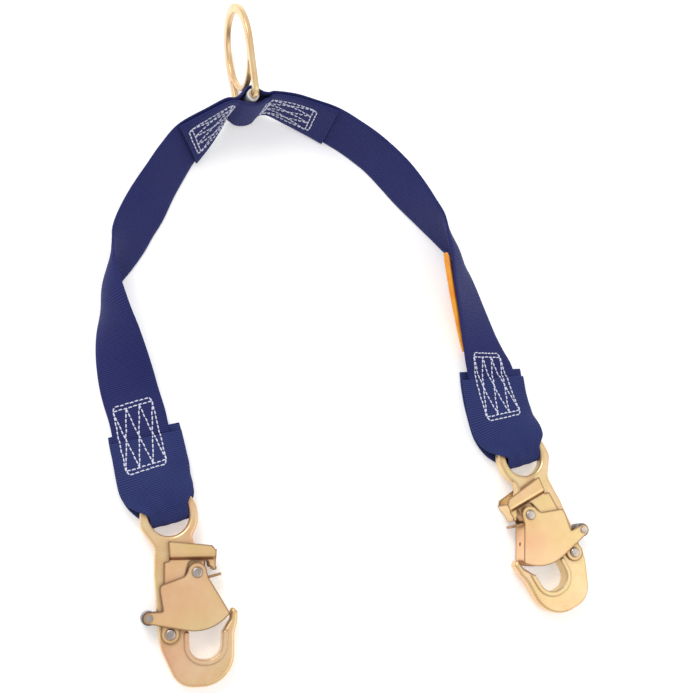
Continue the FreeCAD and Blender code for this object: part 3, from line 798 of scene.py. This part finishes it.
def steel_material(name, low, high, rough):
    """Plain steel of the rivets, rollers and springs, with painted shade in its corners."""
    m = Nodes(name)
    place = m.place()
    fine = m.noise(place, 700.0, 4.0, 0.6)
    patch = m.noise(place, 120.0, 3.0, 0.5)
    # painted shade: corners and narrow gaps darkened towards dark brown
    m.base(m.mix(m.corner_shade(), rgb(60, 42, 36), m.ramp(patch, [(0.3, low), (0.7, high)])))
    m.rough(m.scaled(fine, 0.2, rough - 0.1))
    m.bump(fine, 0.2, 0.0002)
    m.set(Metallic=1.0)
    return m.material


def plastic_material():
    m = Nodes("sleeve_plastic")
    cloud = m.noise(m.place(), 160.0, 3.0, 0.5)
    m.base(m.ramp(cloud, [(0.3, rgb(205, 208, 212)), (0.7, rgb(240, 241, 243))]))
    m.bump(cloud, 0.1, 0.0003)
    m.set(Roughness=0.38, Subsurface_Weight=0.3, Subsurface_Scale=0.003, Coat_Weight=0.1)
    return m.material


def label_material():
    m = Nodes("label_orange")
    data = m.stored("weave")
    fine = m.noise(data, 3.0, 4.0, 0.6)
    broad = m.noise(data, 0.12, 2.0, 0.5)
    colour = m.ramp(broad, [(0.3, rgb(250, 150, 20)), (0.7, rgb(255, 178, 45))])
    m.base(m.mix(m.math("MULTIPLY", fine, 0.25), colour, rgb(225, 120, 15)))
    m.bump(fine, 0.25, 0.0003)
    m.set(Roughness=0.42, Coat_Weight=0.15, Coat_Roughness=0.3)
    return m.material


def floor_material():
    m = Nodes("floor_pale")
    m.set(Base_Color=(0.95, 0.95, 0.95, 1.0), Roughness=0.9, Specular_IOR_Level=0.1)
    m.set(Emission_Color=(1.0, 1.0, 1.0, 1.0), Emission_Strength=0.32)
    return m.material


WEB = web_material("webbing_navy", rgb(11, 12, 44), rgb(25, 29, 82), rgb(44, 50, 116))
WRAP = web_material("wear_web_navy", rgb(12, 15, 46), rgb(29, 37, 86), rgb(50, 62, 124))
THREAD = thread_material()
FORGED = zinc_material("zinc_forged", rgb(236, 176, 132), rgb(250, 210, 164),
                       rgb(255, 234, 198), 0.30, 1.0)
SHEET = zinc_material("zinc_sheet", rgb(236, 180, 130), rgb(248, 204, 152),
                      rgb(255, 226, 180), 0.32, 0.8)
RIVET = steel_material("rivet_bright", rgb(178, 166, 160), rgb(224, 212, 204), 0.30)
ROLLER = steel_material("roller_grey", rgb(120, 118, 120), rgb(175, 172, 172), 0.42)
SPRING = steel_material("spring_dark", rgb(110, 108, 105), rgb(150, 146, 140), 0.35)
SLEEVE = plastic_material()
LABEL = label_material()

NODE_FINISH = {
    "ring": FORGED, "ring_sleeve": SLEEVE, "body": FORGED, "gate": SHEET, "lock_lever": SHEET,
    "gate_rivet": RIVET, "lock_rivet": RIVET, "roller": ROLLER, "roller_pin": RIVET,
    "gate_spring": SPRING, "lock_spring": SPRING,
}


def finish_nodes():
    """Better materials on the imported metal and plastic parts."""
    for name, node in frame["nodes"].items():
        short = name.replace("hook_left_", "").replace("hook_right_", "")
        if short not in NODE_FINISH:
            continue
        node.data.materials.clear()
        node.data.materials.append(NODE_FINISH[short])


# ------------------------------------------------------------------ label

LABEL_ROWS = slice(10, 18)        # the rows of the right leg that it lies along
LABEL_CUTS = (17.0, 21.0)         # left off at its upper and lower ends
LABEL_FOLD = [
    (-8.0, -0.55), (-3.0, -0.75), (2.0, -1.1), (5.0, -1.45), (6.6, -1.35), (7.6, -0.8), (8.0, 0.0),
    (7.6, 0.8), (6.6, 1.35), (5.0, 1.45), (2.0, 1.1), (-3.0, 0.75), (-8.0, 0.55),
]


def build_label():
    """Folded blank tape under the right leg's left edge, its fold standing past the edge."""
    leg = np.array(leg_rows(RIGHT_LEG))
    rows, normal = leg[LABEL_ROWS], row_normals(leg)[LABEL_ROWS]
    normal = np.where(normal[:, 2:3] > 0, -normal, normal)
    shows = 9.6 - 12.8 * np.linspace(-0.15, 1.15, len(rows))[:, None]
    centre = rows[:, :3] + rows[:, 3:6] * (WEB_W / 2.0 + shows - LABEL_HALF) + normal * LABEL_DROP
    line, run = even(np.concatenate([centre, rows[:, 3:6], normal], axis=1), 0.8)
    keep = (run > LABEL_CUTS[0]) & (run < run[-1] - LABEL_CUTS[1])
    line, run = line[keep], run[keep]
    across, out = unit(line[:, 3:6]), unit(line[:, 6:9])
    fold = even([[a, b, 0.0] for a, b in LABEL_FOLD], 0.45)[0]
    grid = (line[:, None, :3] + across[:, None] * fold[None, :, :1]
            + out[:, None] * fold[None, :, 1:2])
    return woven("label_folded", grid, run, LABEL_WEAVE_W, LABEL_T, ribs=False)


# ------------------------------------------------------------------ build


def dress(made, material, body=None, replaced=()):
    """Gives a piece its material in a slot and its body, and hides the CAD nodes that it stands for."""
    made.data.materials.append(material)
    if body:
        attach(made, body)
    if replaced:
        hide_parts(*replaced)


def add_wrap(side, main_web):
    """One wrap and its stitches."""
    wrap = build_wrap(side)
    dress(wrap, WRAP, replaced=("hook_wrap_" + side,))
    place = on_surface(HOOKS[side]["box"], [wrap, main_web])
    runs = stitch_runs(sewn_box(WRAP_BOX), place, HOOKS[side]["seam_seed"])
    seam = sew("wrap_%s_stitching" % side, runs)
    dress(seam, THREAD)
    at = wrap_plan(side)
    begin, finish = [at(q)[0] * MM for q in BLEND_SPAN]
    for piece in (wrap, seam):
        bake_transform(piece)


def add_pad_stitches(grid, run):
    """The sewn boxes that hold the keeper to the legs, on the face away from the ring's eye."""
    middle = grid_normals(grid)[len(run) // 2, grid.shape[1] // 2]
    out = -1.0 if middle @ ring_axes()[2] > 0 else 1.0
    total = run[-1]
    spans = {"left": (7.0, total / 2.0 - 22.0), "right": (total - 17.0, total / 2.0 + 9.0)}
    for (name, span), seed in zip(spans.items(), (15, 16)):
        lines = sewn_box(abs(span[1] - span[0]))
        runs = stitch_runs(lines, on_band(grid, run, span, out), seed)
        dress(sew("pad_%s_stitching" % name, runs), THREAD, "webbing")


finish_nodes()
main_web = build_main_web()
dress(main_web, WEB, "webbing", ("main_web",))
keeper, keeper_grid, keeper_run = build_keeper()
dress(keeper, WEB, "webbing", ("ring_keeper_web",))
dress(build_label(), LABEL, "webbing", ("id_label",))
for side in HOOKS:
    add_wrap(side, main_web)
add_pad_stitches(keeper_grid, keeper_run)

# ------------------------------------------------------------------ floor, lights, camera

FLOOR_HALF = 6.0
WORLD_STRENGTH = 0.62
CAMERA_PLACE = (-0.1927, -0.1664, 0.7773)
CAMERA_RIGHT = (0.9706, 0.0, 0.2406)
CAMERA_FORWARD = (0.2358, 0.2005, -0.9509)
CAMERA_LENS = 57.14


def build_stage():
    h = FLOOR_HALF
    floor = new_object("floor", [(-h, -h, 0), (h, -h, 0), (h, h, 0), (-h, h, 0)], [[0, 1, 2, 3]],
                       smooth=False)
    floor.data.materials.append(floor_material())
    world = bpy.data.worlds.new("studio")
    bpy.context.scene.world = world
    world.use_nodes = True
    background = world.node_tree.nodes["Background"]
    background.inputs["Color"].default_value = (1.0, 1.0, 1.0, 1.0)
    background.inputs["Strength"].default_value = WORLD_STRENGTH


def soft_light(name, place, size, power):
    """A square light that points at the frame's origin."""
    data = bpy.data.lights.new(name, "AREA")
    data.shape = "SQUARE"
    data.size = size
    data.energy = power
    lamp = bpy.data.objects.new(name, data)
    bpy.context.scene.collection.objects.link(lamp)
    lamp.location = place
    lamp.rotation_mode = "QUATERNION"
    lamp.rotation_quaternion = (-Vector(place)).to_track_quat("-Z", "Y")


def build_camera():
    """The camera looks down on the lanyard from beside the left hook."""
    data = bpy.data.cameras.new("camera")
    data.sensor_width = 36.0
    data.lens = CAMERA_LENS
    camera = bpy.data.objects.new("camera", data)
    bpy.context.scene.collection.objects.link(camera)
    right, forward = Vector(CAMERA_RIGHT).normalized(), Vector(CAMERA_FORWARD).normalized()
    turn = Matrix((right, right.cross(forward), -forward)).transposed().to_4x4()
    camera.matrix_world = Matrix.Translation(CAMERA_PLACE) @ turn
    data.clip_start = 0.01
    bpy.context.scene.camera = camera


build_stage()
soft_light("key", (-0.7, 0.9, 1.3), 0.9, 13.0)
soft_light("fill", (1.1, -0.5, 1.2), 1.2, 4.5)
build_camera()
bpy.context.scene.view_settings.view_transform = "Standard"
